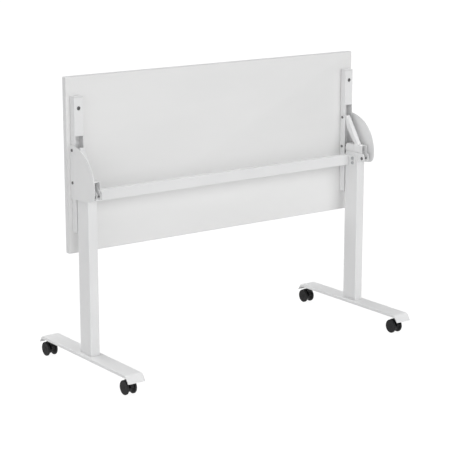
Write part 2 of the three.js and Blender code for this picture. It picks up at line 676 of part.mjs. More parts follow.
function beamEnd(side) {
  const offset = endPlateX - columnX;
  const holes = beamBoltHeights().map((z) =>
    rodX(beamBoltY(), z, BEAM_BOLT_RADIUS + GAP, [
      side.out(offset - END_PLATE - OVERCUT),
      side.out(offset + OVERCUT),
    ]),
  );
  const plate = block(
    [side.out(offset - END_PLATE), side.out(offset)],
    [beamBackY - END_PLATE_DEPTH, beamBackY],
    [beamTopZ - BEAM_HEIGHT, beamTopZ],
  );
  piece(`beam_end_plate_${side.name}`, cut(plate, ...holes), WHITE_COAT);

  const seat = offset - END_PLATE - GAP;
  ["upper", "lower"].forEach((end, i) => {
    const z = beamBoltHeights()[i];
    const bolt = join(
      rodX(beamBoltY(), z, BEAM_BOLT_HEAD_RADIUS, [side.out(seat - BEAM_BOLT_HEAD), side.out(seat)]),
      rodX(beamBoltY(), z, BEAM_BOLT_RADIUS, [
        side.out(seat - SHARED_SKIN),
        side.out(-COLUMN_WIDTH / 2 + COLUMN_WALL * 2),
      ]),
    );
    const socket = rodX(
      beamBoltY(),
      z,
      BEAM_BOLT_HEAD_RADIUS * HEX_SOCKET_SHARE,
      [side.out(seat - BEAM_BOLT_HEAD - OVERCUT), side.out(seat - BEAM_BOLT_HEAD + HEX_SOCKET_DEPTH)],
      HEX_SIDES,
    );
    piece(`beam_bolt_${end}_${side.name}`, cut(bolt, socket), STEEL);
  });
}

// What a round takes off a nose's corner, seen from above
function noseCorner(endX, endY, roundX, roundY) {
  const outX = Math.sign(endX);
  const outY = Math.sign(endY);
  const arc = Array.from({ length: FOOT_CORNER_STEPS + 1 }, (_, i) => {
    const angle = ((i / FOOT_CORNER_STEPS) * Math.PI) / 2;
    return [
      endX - outX * roundX * (1 - Math.sin(angle)),
      endY - outY * roundY * (1 - Math.cos(angle)),
    ];
  });
  return polygon([
    ...arc,
    [endX + outX * OVERCUT, endY - outY * roundY],
    [endX + outX * OVERCUT, endY + outY * OVERCUT],
    [endX - outX * roundX, endY + outY * OVERCUT],
  ]);
}

// Inverted sheet channel with turned-down noses, and a boss for each caster's stem
function foot(side) {
  const halfX = FOOT_WIDTH / 2;
  const flat = CASTER_SPACING / 2 + FOOT_PAST_CASTER;
  const tip = flat + FOOT_NOSE_OUT;
  const tipZ = FOOT_TOP - FOOT_NOSE_DROP;
  const slope = Math.hypot(FOOT_NOSE_OUT, FOOT_NOSE_DROP);
  const across = (FOOT_SHEET * slope) / FOOT_NOSE_DROP; // the sloping sheet measured along Y
  const innerFlat = flat - across + (FOOT_SHEET * FOOT_NOSE_OUT) / FOOT_NOSE_DROP;
  const sheet = polygon([
    [-tip, tipZ],
    [-tip + across, tipZ],
    [-innerFlat, footUnderZ],
    [innerFlat, footUnderZ],
    [tip - across, tipZ],
    [tip, tipZ],
    [flat, FOOT_TOP],
    [-flat, FOOT_TOP],
  ]);
  const lipOut = (FOOT_NOSE_OUT * FOOT_LIP) / FOOT_NOSE_DROP;
  const lip = polygon([
    [-flat - lipOut, FOOT_TOP - FOOT_LIP],
    [flat + lipOut, FOOT_TOP - FOOT_LIP],
    [flat, FOOT_TOP],
    [-flat, FOOT_TOP],
  ]);
  const stems = [-CASTER_SPACING / 2, CASTER_SPACING / 2];
  const channel = join(
    slab(sheet, [side.out(-halfX), side.out(halfX)]),
    slab(lip, [side.out(-halfX), side.out(-halfX + FOOT_SHEET)]),
    slab(lip, [side.out(halfX - FOOT_SHEET), side.out(halfX)]),
    ...stems.map((y) => rodZ(side.out(0), y, CASTER_BOSS_RADIUS, [bossLowZ, footUnderZ + SHARED_SKIN])),
  );
  const bores = stems.map((y) =>
    rodZ(side.out(0), y, CASTER_STEM_RADIUS + GAP, [bossLowZ - OVERCUT, footUnderZ]),
  );
  const through = [footUnderZ - OVERCUT, FOOT_TOP + OVERCUT];
  const boltHole = rodZ(side.out(0), 0, FOOT_BOLT_RADIUS + GAP, through);
  const roundY = (FOOT_NOSE_CORNER * FOOT_NOSE_OUT) / slope;
  const corners = [-halfX, halfX].flatMap((endX) =>
    [-tip, tip].map((endY) =>
      new THREE.ExtrudeGeometry(noseCorner(endX, endY, FOOT_NOSE_CORNER, roundY), {
        depth: FOOT_NOSE_DROP,
        bevelEnabled: false,
      }).translate(side.out(0), 0, tipZ - OVERCUT),
    ),
  );
  piece(`foot_${side.name}`, cut(channel, ...bores, boltHole, ...corners), WHITE_COAT);

  const seat = footUnderZ - GAP;
  const bolt = join(
    rodZ(side.out(0), 0, FOOT_BOLT_HEAD_RADIUS, [seat - FOOT_BOLT_HEAD, seat]),
    rodZ(side.out(0), 0, FOOT_BOLT_RADIUS, [seat - SHARED_SKIN, FOOT_TOP + FOOT_BOLT_BITE]),
  );
  piece(`foot_bolt_${side.name}`, bolt, STEEL);
}

// Wheel turned about X: a disc with a round rim and a dished face, on a drum beside the body
function wheel(outward) {
  const hole = CASTER_AXLE_RADIUS + GAP;
  const face = WHEEL_WIDTH / 2;
  const shoulder = WHEEL_DRUM - face;
  const arc = (centre, from) =>
    Array.from({ length: WHEEL_ROUND_STEPS + 1 }, (_, i) => {
      const angle = from + ((i / WHEEL_ROUND_STEPS) * Math.PI) / 2;
      return new THREE.Vector2(
        wheelRadius - WHEEL_ROUND + WHEEL_ROUND * Math.cos(angle),
        centre + WHEEL_ROUND * Math.sin(angle),
      );
    });
  const profile = [
    new THREE.Vector2(hole, -face),
    new THREE.Vector2(CASTER_DRUM_RADIUS, -face),
    new THREE.Vector2(CASTER_DRUM_RADIUS, shoulder),
    ...arc(shoulder + WHEEL_ROUND, -Math.PI / 2),
    ...arc(face - WHEEL_ROUND, 0),
    new THREE.Vector2(hole, face - WHEEL_DISH),
    new THREE.Vector2(hole, -face),
  ];
  return new THREE.LatheGeometry(profile, ROUND_STEPS).rotateZ((-outward * Math.PI) / 2);
}

// Twin-wheel swivel caster: its body carries the stem and the axle of its two wheels
function caster(side, end, stemY) {
  const axleY = stemY + CASTER_TRAIL;
  const x = side.out(0);
  const wheelOuter = wheelInner + WHEEL_WIDTH;
  const web = [x - CASTER_WEB / 2, x + CASTER_WEB / 2];
  const drum = rodX(axleY, wheelRadius, CASTER_DRUM_RADIUS, web);
  const crown = cut(
    rodX(axleY, wheelRadius, CASTER_CROWN_RADIUS, web),
    block(
      [x - CASTER_WEB, x + CASTER_WEB],
      [axleY - WHEEL_DIAMETER, axleY + WHEEL_DIAMETER],
      [-WHEEL_DIAMETER, wheelRadius + CASTER_CROWN_RISE],
    ),
  );
  const axle = rodX(axleY, wheelRadius, CASTER_AXLE_RADIUS, [
    x - wheelOuter + WHEEL_DISH,
    x + wheelOuter - WHEEL_DISH,
  ]);
  const neckHigh = bossLowZ - GAP;
  const neck = cut(
    rodZ(x, stemY, CASTER_NECK_RADIUS, [wheelRadius + wheelRadius * CASTER_NECK_START, neckHigh]),
    rodX(axleY, wheelRadius, wheelRadius + CASTER_NECK_GAP, [x - wheelOuter, x + wheelOuter]),
  );
  const stem = rodZ(x, stemY, CASTER_STEM_RADIUS, [neckHigh - SHARED_SKIN, footUnderZ - GAP]);
  const label = `${end}_${side.name}`;
  piece(`caster_body_${label}`, join(drum, crown, axle, neck, stem), BLACK_PLASTIC);
  const middle = wheelInner + WHEEL_WIDTH / 2;
  for (const [name, outward] of [
    ["a", -1],
    ["b", 1],
  ]) {
    const tyre = wheel(outward).translate(x + outward * middle, axleY, wheelRadius);
    piece(`wheel_${name}_${label}`, tyre, BLACK_TREAD);
  }
}

tabletop();
crossbeam();
for (const side of SIDES) {
  rail(side);
  quadrant(side);
  railScrews(side);
  hinge(side);
  head(side);
  pivotBracket(side);
  stayArm(side);
  column(side);
  beamEnd(side);
  foot(side);
  caster(side, "front", -CASTER_SPACING / 2);
  caster(side, "back", CASTER_SPACING / 2);
}

export default table;
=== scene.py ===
import json
import math

import bpy
import numpy as np
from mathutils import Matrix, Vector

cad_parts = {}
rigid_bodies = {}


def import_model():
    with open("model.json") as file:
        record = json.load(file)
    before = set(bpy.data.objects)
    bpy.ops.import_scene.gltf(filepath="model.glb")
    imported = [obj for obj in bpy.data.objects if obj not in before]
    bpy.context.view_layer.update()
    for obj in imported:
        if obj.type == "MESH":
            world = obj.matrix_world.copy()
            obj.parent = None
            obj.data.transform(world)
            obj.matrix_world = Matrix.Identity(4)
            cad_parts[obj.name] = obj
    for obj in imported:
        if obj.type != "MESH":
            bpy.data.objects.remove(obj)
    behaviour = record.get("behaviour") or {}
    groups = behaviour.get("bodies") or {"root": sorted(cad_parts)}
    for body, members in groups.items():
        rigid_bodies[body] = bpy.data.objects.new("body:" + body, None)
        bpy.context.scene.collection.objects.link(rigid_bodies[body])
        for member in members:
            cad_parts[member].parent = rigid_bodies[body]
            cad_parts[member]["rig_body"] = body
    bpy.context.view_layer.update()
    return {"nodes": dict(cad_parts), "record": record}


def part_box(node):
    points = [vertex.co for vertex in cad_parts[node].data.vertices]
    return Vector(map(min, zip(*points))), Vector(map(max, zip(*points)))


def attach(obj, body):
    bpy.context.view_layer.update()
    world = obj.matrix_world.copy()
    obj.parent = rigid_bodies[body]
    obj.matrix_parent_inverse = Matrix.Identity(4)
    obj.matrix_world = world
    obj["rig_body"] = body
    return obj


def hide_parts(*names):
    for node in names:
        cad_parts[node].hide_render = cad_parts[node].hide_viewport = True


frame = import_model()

# A white flip top training table with its top turned up, worked out in millimetres.
MM = 0.001
SIDES = {"left": -1.0, "right": 1.0}
ENDS = ("front", "back")

ARC_STEPS = 8  # segments of a quarter round
ROUND_STEPS = 72  # segments of a full circle
SUPPORT = 0.25  # short flat beside a round, which keeps the large faces shaded flat
SUPPORT_SHARE = 0.4  # most of a straight edge that one such flat takes
SUPPORT_LEAST = 1e-4
MITRE_LEAST = 0.4  # least cosine between an edge's side and its corner's bisector
CRISP = 0.01  # round of an edge that another surface continues
SEAM = 0.05  # offset that keeps the faces of two joined surfaces apart
ON_AXIS = 1e-3  # radius of the ring that closes a turned surface at its axis
SHARP_DEGREES = 38.0


def extent(node):
    """Lowest and highest corner of a CAD node, in millimetres."""
    low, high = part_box(node)
    return np.array(low) / MM, np.array(high) / MM


# Outlines: closed loops of points in a plane


def unit(vectors):
    """Each vector divided by its length."""
    return vectors / np.linalg.norm(vectors, axis=-1, keepdims=True)


def fillet(points, radius, steps=ARC_STEPS):
    """Polygon with rounded corners.

    Each corner becomes an arc of the given radius, touching both edges at the distance
    radius / tan(half the corner's angle), with a short flat before and after the arc.
    """
    corner = np.asarray(points, float)
    radius = np.broadcast_to(np.asarray(radius, float), len(corner))[:, None]
    before = unit(np.roll(corner, 1, 0) - corner)
    after = unit(np.roll(corner, -1, 0) - corner)
    half = np.arccos(np.clip((before * after).sum(1), -1, 1))[:, None] / 2
    reach = radius / np.tan(half)
    centre = corner + unit(before + after) * radius / np.sin(half)
    start = corner + before * reach
    stop = corner + after * reach
    first = np.arctan2(*(start - centre).T[::-1])
    last = np.arctan2(*(stop - centre).T[::-1])
    turn = (last - first + math.pi) % (2 * math.pi) - math.pi
    angle = first[:, None] + turn[:, None] * np.linspace(0, 1, steps + 1)
    arc = centre[:, None] + radius[:, None] * np.stack([np.cos(angle), np.sin(angle)], -1)
    length = np.linalg.norm(np.roll(corner, -1, 0) - corner, axis=1)[:, None]
    straight = length - reach - np.roll(reach, -1, 0)
    flat = np.clip(SUPPORT_SHARE * straight, SUPPORT_LEAST, SUPPORT)
    lead = (start + before * np.roll(flat, 1, 0))[:, None]
    trail = (stop + after * flat)[:, None]
    return np.concatenate([lead, arc, trail], 1).reshape(-1, 2)


def rectangle(low, high, radius):
    """Rounded rectangle between two corners of a plane."""
    (a0, b0), (a1, b1) = low, high
    return fillet([(a0, b0), (a1, b0), (a1, b1), (a0, b1)], radius)


def inset(outline, depth):
    """The outline moved inwards by each depth, every point along the bisector of its edges."""
    following = np.roll(outline, -1, 0)
    edge = unit(following - outline)
    side = np.stack([edge[:, 1], -edge[:, 0]], -1)
    other = np.roll(side, 1, 0)
    middle = unit(side + other)
    middle /= np.clip((middle * side).sum(1), MITRE_LEAST, 1)[:, None]
    doubled_area = (outline[:, 0] * following[:, 1] - following[:, 0] * outline[:, 1]).sum()
    return outline - np.sign(doubled_area) * np.asarray(depth)[:, None, None] * middle


# Surfaces: grids of points, given as rings


def shell(rings, loop=False):
    """Vertices and faces of a tube through rings of points.

    Face (i, j) joins points j and j + 1 of rings i and i + 1. The last ring meets the first
    one in a loop, and otherwise a flat face closes each end. Faces point outwards.
    """
    count, around, _ = rings.shape
    steps = count if loop else count - 1
    i = np.arange(steps)[:, None]
    j = np.arange(around)[None, :]
    here, there = i * around, (i + 1) % count * around
    following = (j + 1) % around
    quads = np.stack([here + j, here + following, there + following, there + j], -1)
    quads = quads.reshape(-1, 4)
    points = rings.reshape(-1, 3)
    corner = points[quads] - points.mean(0)
    volume = (corner[:, 0] * np.cross(corner[:, 1], corner[:, 2])).sum()
    volume += (corner[:, 0] * np.cross(corner[:, 2], corner[:, 3])).sum()
    ends = [] if loop else [np.arange(around)[::-1], np.arange(around) + (count - 1) * around]
    faces = [*quads, *ends]
    return points, [f[::-1].tolist() if volume < 0 else f.tolist() for f in faces]


def place(axis, across, along):
    """Points from two coordinates across an axis and one along it, in X, Y, Z order."""
    first, second = across[..., 0], across[..., 1]
    third = np.broadcast_to(along, across.shape[:-1])
    order = {"x": (third, first, second), "y": (first, third, second), "z": (first, second, third)}
    return np.stack(order[axis], -1)


def sections(across, along, height):
    """Rings of an upright section, from its X, its Y along the way and its heights."""
    shape = height.shape
    return np.stack([np.broadcast_to(across, shape), np.broadcast_to(along, shape), height], -1)


def solid(outline, axis, span, rim):
    """An outline carried along an axis, with its rims rounded.

    Near each end the outline shrinks by rim * (1 - cos a) while it moves out by rim * sin a.
    """
    low, high = sorted(span)
    angle = np.linspace(math.pi / 2, 0, ARC_STEPS // 2 + 1)
    depth = rim * (1 - np.cos(angle))
    rise = rim * (1 - np.sin(angle))
    near = np.append(rise, rim + min(SUPPORT, (high - low) / 2 - rim))
    depths = np.concatenate([depth, [0, 0], depth[::-1]])
    along = np.concatenate([low + near, (high - near)[::-1]])
    return shell(place(axis, inset(outline, depths), along[:, None]))


def turned(profile, axis, centre, loop=False, steps=ROUND_STEPS):
    """A profile of (radius, offset) points carried once round an axis through the centre."""
    profile = np.asarray(profile, float)
    angle = np.arange(steps) * 2 * math.pi / steps
    circle = np.stack([np.cos(angle), np.sin(angle)], -1)
    across = profile[:, :1, None] * circle[None]
    return shell(place(axis, across, profile[:, 1:]) + np.asarray(centre, float), loop)


def rounded_profile(points, radius):
    """An open profile whose inner corners are rounded, keeping its first and last points."""
    points = np.asarray(points, float)
    rounds = np.r_[ON_AXIS, np.full(len(points) - 2, radius), ON_AXIS]
    closed = fillet(points, rounds, ARC_STEPS // 2)
    per = len(closed) // len(points)
    return np.concatenate([points[:1], closed[per:-per], points[-1:]])


DOME_SHARE = 0.55  # of the head's height or radius, rounded over
SOCKET_BEVEL = 0.25
SOCKET_FLOOR_SHARE = 0.98


def socket_head(centre, axis, outward, radius, height, socket, depth):
    """A domed screw head with a hex socket.

    Rings run up the side, over a round edge, in to the hexagon and down into the socket. The
    hexagon's radius at angle u is its half width / cos(u folded into a sixth of a turn).
    """
    angle = np.arange(ROUND_STEPS) * 2 * math.pi / ROUND_STEPS
    sixth = math.pi / 3
    hexagon = socket / np.cos((angle + sixth / 2) % sixth - sixth / 2)
    circle = np.ones(ROUND_STEPS)
    edge = np.linspace(0, math.pi / 2, ARC_STEPS)
    dome = min(radius, height) * DOME_SHARE
    radii = [circle * radius]
    rise = [0.0]
    radii += list(circle * (radius - dome + dome * np.cos(edge))[:, None])
    rise += list(height - dome + dome * np.sin(edge))
    radii += [hexagon + SOCKET_BEVEL, hexagon, hexagon, hexagon * SOCKET_FLOOR_SHARE]
    rise += [height, height - SOCKET_BEVEL, height - depth, height - depth]
    radii = np.array(radii)
    across = radii[..., None] * np.stack([np.cos(angle), np.sin(angle)], -1)[None]
    along = outward * np.array(rise)[:, None]
    return shell(place(axis, across, along) + np.asarray(centre, float))


ROD_EDGE = 0.4


def rod(axis, centre, radius, span, edge=ROD_EDGE):
    """A turned rod along an axis with small rounds at its ends."""
    low, high = sorted(span)
    profile = [(ON_AXIS, low), (radius, low), (radius, high), (ON_AXIS, high)]
    return turned(rounded_profile(profile, edge), axis, centre, steps=ROUND_STEPS // 2)


HOLE_LIP = 0.4  # bevel round a hole's front edge
RAY_TURN = 1e-3  # turns the rays off the plate's own directions
RAY_LEAST = 1e-9


def pierced_plate(low, high, face, hole, radius):
    """A plate in X and Z with a round hole.

    At each angle round the hole the rings run from the hole's edge out to where that ray meets
    the plate's rectangle, over the plate's side, and back into the hole on the other face.
    """
    low, high, hole = (np.asarray(v, float) for v in (low, high, hole))
    corners = np.array([(a, b) for a in (low[0], high[0]) for b in (low[1], high[1])]) - hole
    angle = np.arange(ROUND_STEPS) * 2 * math.pi / ROUND_STEPS + RAY_TURN
    angle = np.sort(np.r_[angle, np.arctan2(corners[:, 1], corners[:, 0]) % (2 * math.pi)])
    ray = np.stack([np.cos(angle), np.sin(angle)], -1)
    limit = np.where(ray > 0, high - hole, low - hole)
    safe = np.where(np.abs(ray) < RAY_LEAST, RAY_LEAST, ray)
    reach = (limit / safe).min(1)[:, None]
    edge = hole + ray * reach
    front, back = face
    rings = [
        place("y", hole + ray * radius, front + HOLE_LIP),
        place("y", hole + ray * (radius + HOLE_LIP), front),
        place("y", edge, front),
        place("y", edge, back),
        place("y", hole + ray * radius, back),
    ]
    return shell(np.array(rings), loop=True)


# Finishes


def new_material(name):
    """A node material, helpers that add nodes and set its shader, and the object's coordinates."""
    material = bpy.data.materials.new(name)
    material.use_nodes = True
    tree = material.node_tree
    shader = next(n for n in tree.nodes if n.type == "BSDF_PRINCIPLED")
    place_of = tree.nodes.new("ShaderNodeTexCoord")

    def fill(socket, value):
        if isinstance(value, bpy.types.NodeSocket):
            tree.links.new(value, socket)
        else:
            socket.default_value = value

    def add(kind, inputs=()):
        node = tree.nodes.new(kind)
        for key, value in dict(inputs).items():
            fill(node.inputs[key], value)
        return node

    def put(key, value):
        fill(shader.inputs[key], value)

    return material, add, put, place_of.outputs["Object"]


def noise(add, where, scale, detail=3.0, roughness=0.55, stretch=None):
    """Fractal noise on the object's own coordinates, drawn out along one axis where asked."""
    if stretch is not None:
        where = add("ShaderNodeMapping", {"Vector": where, "Scale": stretch}).outputs["Vector"]
    inputs = {"Vector": where, "Scale": scale, "Detail": detail, "Roughness": roughness}
    return add("ShaderNodeTexNoise", inputs).outputs["Fac"]


def cells(add, where, scale):
    """Distance to the nearest of many scattered points."""
    return add("ShaderNodeTexVoronoi", {"Vector": where, "Scale": scale}).outputs["Distance"]


def between(add, factor, low, high, start=0.3, stop=0.7):
    """A number that runs from low to high as the factor runs from start to stop."""
    inputs = {"Value": factor, "From Min": start, "From Max": stop, "To Min": low, "To Max": high}
    return add("ShaderNodeMapRange", inputs).outputs["Result"]


def tint(add, factor, dark, light, start=0.3, stop=0.7):
    """A colour that runs from dark to light as the factor runs from start to stop."""
    ramp = add("ShaderNodeValToRGB", {"Fac": factor})
    low, high = ramp.color_ramp.elements
    low.position, low.color = start, (*dark, 1)
    high.position, high.color = stop, (*light, 1)
    return ramp.outputs["Color"]


def relief(add, height, depth, strength):
    """A bump of that depth in metres."""
    inputs = {"Height": height, "Distance": depth, "Strength": strength}
    return add("ShaderNodeBump", inputs).outputs["Normal"]


def powder_coat():
    """White powder coat: orange peel of about a millimetre, slow changes of gloss and tone."""
    material, add, put, where = new_material("powder_coat_white")
    slow = noise(add, where, scale=7.0, detail=2.0)
    peel = noise(add, where, scale=720.0, detail=2.0, roughness=0.4)
    gloss = noise(add, where, scale=38.0)
    put("Base Color", tint(add, slow, dark=(0.835, 0.838, 0.841), light=(0.865, 0.867, 0.869)))
    put("Roughness", between(add, gloss, low=0.36, high=0.47))
    put("Normal", relief(add, peel, depth=0.00006, strength=0.35))
    put("Specular IOR Level", 0.42)
    return material


def melamine():
    """White melamine board: a faint pearl grain over slow, drawn out tone changes."""
    material, add, put, where = new_material("melamine_white")
    slow = noise(add, where, scale=3.0, detail=3.0, roughness=0.5, stretch=(0.6, 1.0, 1.8))
    pearl = noise(add, where, scale=950.0, detail=4.0, roughness=0.6)
    gloss = noise(add, where, scale=130.0)
    put("Base Color", tint(add, slow, dark=(0.845, 0.846, 0.843), light=(0.877, 0.877, 0.874)))
    put("Roughness", between(add, gloss, low=0.42, high=0.54))
    put("Normal", relief(add, pearl, depth=0.00004, strength=0.3))
    put("Specular IOR Level", 0.38)
    return material


def edge_plastic():
    """White edge band and caps: smooth extruded plastic with fine lines along its length."""
    material, add, put, where = new_material("edge_plastic_white")
    lines = noise(add, where, scale=420.0, detail=2.0, roughness=0.5, stretch=(0.04, 1.0, 0.04))
    slow = noise(add, where, scale=9.0)
    put("Base Color", tint(add, slow, dark=(0.785, 0.788, 0.791), light=(0.815, 0.817, 0.819)))
    put("Roughness", between(add, lines, low=0.3, high=0.42))
    put("Normal", relief(add, lines, depth=0.00003, strength=0.25))
    return material


def zinc():
    """Zinc plated steel: crystalline tone changes and turning marks."""
    material, add, put, where = new_material("zinc_steel")
    crystals = cells(add, where, scale=900.0)
    dull, bright = (0.42, 0.43, 0.44), (0.56, 0.57, 0.58)
    put("Base Color", tint(add, crystals, dull, bright, start=0.1, stop=0.7))
    put("Roughness", between(add, noise(add, where, scale=300.0), low=0.28, high=0.44))
    put("Metallic", 1.0)
    put("Normal", relief(add, noise(add, where, scale=1500.0), depth=0.00003, strength=0.3))
    return material


def dark_steel():
    """Blackened steel of the screws: a thin oiled coat that wears brighter in spots."""
    material, add, put, where = new_material("dark_steel")
    wear = noise(add, where, scale=420.0, detail=4.0, roughness=0.6)
    oiled, worn = (0.15, 0.15, 0.153), (0.26, 0.26, 0.263)
    put("Base Color", tint(add, wear, oiled, worn, start=0.35, stop=0.75))
    put("Roughness", between(add, noise(add, where, scale=300.0), low=0.38, high=0.52))
    put("Metallic", 0.6)
    put("Normal", relief(add, noise(add, where, scale=1500.0), depth=0.00003, strength=0.3))
    return material


def moulded_black():
    """Black moulded plastic with a spark eroded grain."""
    material, add, put, where = new_material("moulded_black")
    grain = cells(add, where, scale=1300.0)
    slow = noise(add, where, scale=22.0)
    put("Base Color", tint(add, slow, dark=(0.008, 0.008, 0.009), light=(0.014, 0.014, 0.015)))
    put("Roughness", between(add, noise(add, where, scale=90.0), low=0.33, high=0.46))
    put("Normal", relief(add, grain, depth=0.00006, strength=0.35))
    put("Specular IOR Level", 0.3)
    return material


def tread():
    """Black wheel tread: matt, with a little dust in its grain."""
    material, add, put, where = new_material("tread_black")
    dust = noise(add, where, scale=160.0, detail=5.0, roughness=0.65)
    clean, dusty = (0.012, 0.012, 0.013), (0.03, 0.03, 0.031)
    put("Base Color", tint(add, dust, clean, dusty, start=0.35, stop=0.75))
    put("Roughness", between(add, dust, low=0.5, high=0.68))
    put("Normal", relief(add, noise(add, where, scale=1100.0), depth=0.00006, strength=0.4))
    put("Specular IOR Level", 0.3)
    return material


COAT, BOARD, PLASTIC = powder_coat(), melamine(), edge_plastic()
STEEL, DARK_STEEL = zinc(), dark_steel()
BLACK, TREAD = moulded_black(), tread()
SLOTS = {COAT: "white_coat", BOARD: "white_board", PLASTIC: "white_plastic"}
SLOTS |= {STEEL: "steel", DARK_STEEL: "steel", BLACK: "black_plastic", TREAD: "black_tread"}


def piece(node, shells, material, carrier=None):
    """A finished piece that stands for a CAD node and rides on its body.

    With a carrier it stands for no node of its own, and rides with the carrier.
    """
    counts = np.cumsum([0] + [len(points) for points, _ in shells])
    points = np.concatenate([p for p, _ in shells]) * MM
    faces = [[k + start for k in face] for start, (_, part) in zip(counts, shells) for face in part]
    mesh = bpy.data.meshes.new(f"{node}_shape")
    mesh.from_pydata(points.tolist(), [], faces)
    mesh.shade_smooth()
    mesh.set_sharp_from_angle(angle=math.radians(SHARP_DEGREES))
    mesh.materials.append(material)
    made = bpy.data.objects.new(f"{node}_look", mesh)
    bpy.context.scene.collection.objects.link(made)
    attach(made, frame["nodes"][carrier or node]["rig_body"])
    if carrier is None:
        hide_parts(node)


# The top

BOARD_LAP, BOARD_CORNER, BOARD_RIM = 0.2, 1.0, 0.25  # the lap reaches into the edge band
BAND_THICK, BAND_CORNER, BAND_SOFT, BAND_CRISP = 2.0, 2.6, 1.3, 0.15


def table_top():
    """The board: a rounded rectangle carried through its thickness, up to the edge band."""
    low, high = extent("table_top")
    outline = rectangle(low[[0, 2]] - BOARD_LAP, high[[0, 2]] + BOARD_LAP, BOARD_CORNER)
    piece("table_top", [solid(outline, "y", (low[1], high[1]), BOARD_RIM)], BOARD)


def edge_band():
    """The band: its section, round on the outside, carried round the top's outline."""
    low, high = extent("edge_band")
    outline = rectangle(low[[0, 2]], high[[0, 2]], BAND_CORNER)
    corners = [(0, low[1]), (BAND_THICK, low[1]), (BAND_THICK, high[1]), (0, high[1])]
    section = fillet(corners, [BAND_SOFT, BAND_CRISP, BAND_CRISP, BAND_SOFT])
    rings = inset(outline, section[:, 0])
    piece("edge_band", [shell(place("y", rings, section[:, 1][:, None]), loop=True)], PLASTIC)


table_top()
edge_band()

WALL = 2.5  # sheet of the rails, heads and lugs
HINGE = np.array([22.0, 661.0])  # Y and Z of the top's axis
WINDOW = (641.0, 821.0)  # heights between which the rails are open in front
ACCESS_INSET, ACCESS_RADIUS = 39.0, 7.0
PLUG_SINK, PLUG_HEIGHT, PLUG_GAP = 1.2, 4.0, 0.2
PLUG_SOCKET, PLUG_SOCKET_DEPTH = 3.2, 2.2
RAIL_BEND, RAIL_INSIDE_BEND, RAIL_RIM = 3.0, 0.5, 0.2
RAIL_CORNER_TRIM = 0.3
RAIL_INNER = WALL + SEAM
WINDOW_OUTER_EDGE, WINDOW_INNER_EDGE = 0.9, 0.5
CAP_LID, CAP_LID_RIM = 2.5, 0.8
CAP_SKIN = 1.0  # of the lid, left over the tongue's end
TONGUE_GAP, TONGUE_BEND, TONGUE_RIM = 0.3, 1.0, 0.4


def rail(name):
    """Square tube: a channel, rounded front corners, and walls with plugged holes beyond the window."""
    low, high = extent(f"rail_{name}")
    x0, x1, y0, y1 = low[0], high[0], low[1], high[1]
    bent = y0 + RAIL_BEND
    back = fillet(
        [
            (x0, bent),
            (x0, y1),
            (x1, y1),
            (x1, bent),
            (x1 - WALL, bent),
            (x1 - WALL, y1 - WALL),
            (x0 + WALL, y1 - WALL),
            (x0 + WALL, bent),
        ],
        [CRISP, RAIL_BEND, RAIL_BEND, CRISP, CRISP, RAIL_INSIDE_BEND, RAIL_INSIDE_BEND, CRISP],
    )
    shells = [solid(back, "z", (low[2], high[2]), RAIL_RIM)]
    cap_low, _ = extent(f"rail_cap_lower_{name}")
    _, cap_high = extent(f"rail_cap_upper_{name}")
    holes = {"lower": cap_low[2] + ACCESS_INSET, "upper": cap_high[2] - ACCESS_INSET}
    spans = {"lower": (low[2], WINDOW[0]), "upper": (WINDOW[1], high[2])}
    middle = (x0 + x1) / 2
    for end, (z0, z1) in spans.items():
        for x, way in ((x0, 1.0), (x1, -1.0)):
            flat = x + way * RAIL_BEND
            corners = [(x, bent), (x, y0), (flat, y0), (flat, y0 + WALL)]
            corners.append((x + way * RAIL_INNER, bent))
            rounds = [CRISP, RAIL_BEND - RAIL_CORNER_TRIM, CRISP, CRISP, CRISP]
            shells.append(solid(fillet(corners, rounds), "z", (z0, z1), CRISP))
        plate = (x0 + RAIL_BEND, z0), (x1 - RAIL_BEND, z1)
        face = (y0, y0 + WALL)
        shells.append(pierced_plate(*plate, face, (middle, holes[end]), ACCESS_RADIUS))
    for x, way in ((x0, 1.0), (x1, -1.0)):
        inner = x + way * WALL
        corners = [(x, y0), (inner, y0), (inner, bent), (x, bent)]
        edge = fillet(corners, [WINDOW_OUTER_EDGE, WINDOW_INNER_EDGE, CRISP, CRISP])
        shells.append(solid(edge, "z", WINDOW, CRISP))
    piece(f"rail_{name}", shells, COAT)
    for end, z in holes.items():
        seat = (middle, y0 + PLUG_SINK + PLUG_HEIGHT, z)
        size = (ACCESS_RADIUS - PLUG_GAP, PLUG_HEIGHT, PLUG_SOCKET, PLUG_SOCKET_DEPTH)
        plug = socket_head(seat, "y", -1.0, *size)
        piece(f"access_plug_{end}_{name}", [plug], DARK_STEEL, carrier=f"rail_{name}")


def rail_cap(end, name):
    """Lid over the rail's end, and a tongue that fills the tube."""
    low, high = extent(f"rail_cap_{end}_{name}")
    if end == "lower":
        lid, depth = (low[2], low[2] + CAP_LID), (low[2] + CAP_SKIN, high[2])
    else:
        lid, depth = (high[2] - CAP_LID, high[2]), (low[2], high[2] - CAP_SKIN)
    cover = solid(rectangle(low[:2], high[:2], RAIL_BEND), "z", lid, CAP_LID_RIM)
    near = low[:2] + RAIL_INNER + TONGUE_GAP
    far = high[:2] - RAIL_INNER - TONGUE_GAP
    tongue = solid(rectangle(near, far, TONGUE_BEND), "z", depth, TONGUE_RIM)
    piece(f"rail_cap_{end}_{name}", [cover, tongue], PLASTIC)


REACH, STRIP, STEP_LAP = 153.0, 20.0, 2.5
UNDERSIDE_GAP = 0.3
TOE_RISE, TOE, TOE_STEPS = 7.0, 35.0, 12
BELLY_BELOW_HINGE, BELLY, CURVE_STEPS, CURVE_END = 12.5, 2.15, 48, 1e-3
PLATE_SHEET, PLATE_RIM = 2.5, 0.7
STRIP_SHEET, STRIP_RIM = 3.0, 0.5


